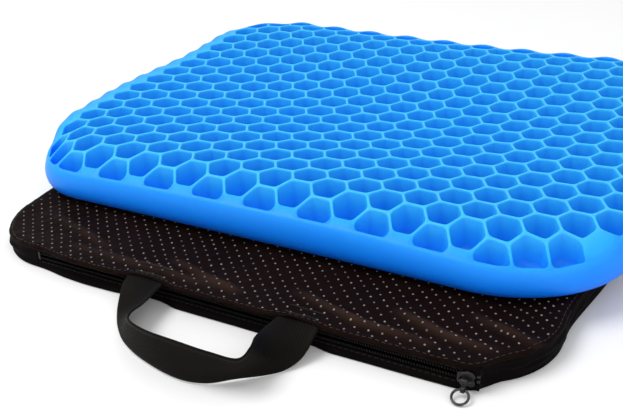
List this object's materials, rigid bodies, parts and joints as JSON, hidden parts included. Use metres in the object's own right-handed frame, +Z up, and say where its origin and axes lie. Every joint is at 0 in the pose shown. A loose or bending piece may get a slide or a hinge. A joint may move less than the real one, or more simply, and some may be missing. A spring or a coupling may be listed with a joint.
{
  "type": "gel seat cushion",
  "caption": "Moulded honeycomb gel seat pad lying on its empty zipped fabric cover, which has a webbing carry handle and a small pull ring.",
  "frame": {"origin": "centre of the cover's underside, on the surface that it lies on", "axes": "+X right, +Y back, +Z up; the carry handle and the zip face -Y"},
  "size_m": [0.396, 0.4197, 0.0473],
  "materials": {
    "gel": "satin",
    "dotted_fabric": "matte woven, with pale grip dots",
    "band_fabric": "matte woven",
    "zip_tape": "matte woven",
    "zip_teeth": "satin",
    "zip_metal": "polished",
    "slider_paint": "semi-gloss",
    "webbing": "matte twill",
    "thread": "matte"
  },
  "bodies": {
    "cover": {"bottom_panel": "band_fabric", "top_panel": "dotted_fabric", "side_band": "band_fabric", "zip_band_upper": "band_fabric", "zip_band_lower": "band_fabric", "zipper_tape_upper": "zip_tape", "zipper_tape_lower": "zip_tape", "zipper_teeth_upper": "zip_teeth", "zipper_teeth_lower": "zip_teeth", "zipper_top_stops": "zip_metal", "zipper_bottom_stop": "zip_metal", "handle_end_left": "webbing", "handle_end_right": "webbing", "handle_stitching": "thread"},
    "pad": {"gel_pad": "gel"},
    "slider": {"slider_body": "slider_paint", "slider_bridge": "slider_paint"},
    "tab": {"pull_tab": "slider_paint"},
    "ring": {"pull_ring": "zip_metal"},
    "handle": {"handle_webbing": "webbing"}
  },
  "joints": [
    {"name": "pad_lift", "type": "slide", "parent": "cover", "child": "pad", "axis": [0, 0, 1], "range_m": [0, 0.2]},
    {"name": "slider_travel", "type": "slide", "parent": "cover", "child": "slider", "axis": [-1, 0, 0], "range_m": [0, 0.265]},
    {"name": "tab_swing", "type": "hinge", "parent": "slider", "child": "tab", "pos_m": [0.138, -0.1516, 0.0075], "axis": [-1, 0, 0], "range_deg": [0, 120]},
    {"name": "ring_swing", "type": "hinge", "parent": "tab", "child": "ring", "pos_m": [0.138, -0.15297, 0.00374], "axis": [-1, 0, 0], "range_deg": [0, 30]},
    {"name": "handle_swing", "type": "hinge", "parent": "cover", "child": "handle", "pos_m": [-0.002, -0.1492, 0.013], "axis": [-1, 0, 0], "range_deg": [0, 90]}
  ]
}
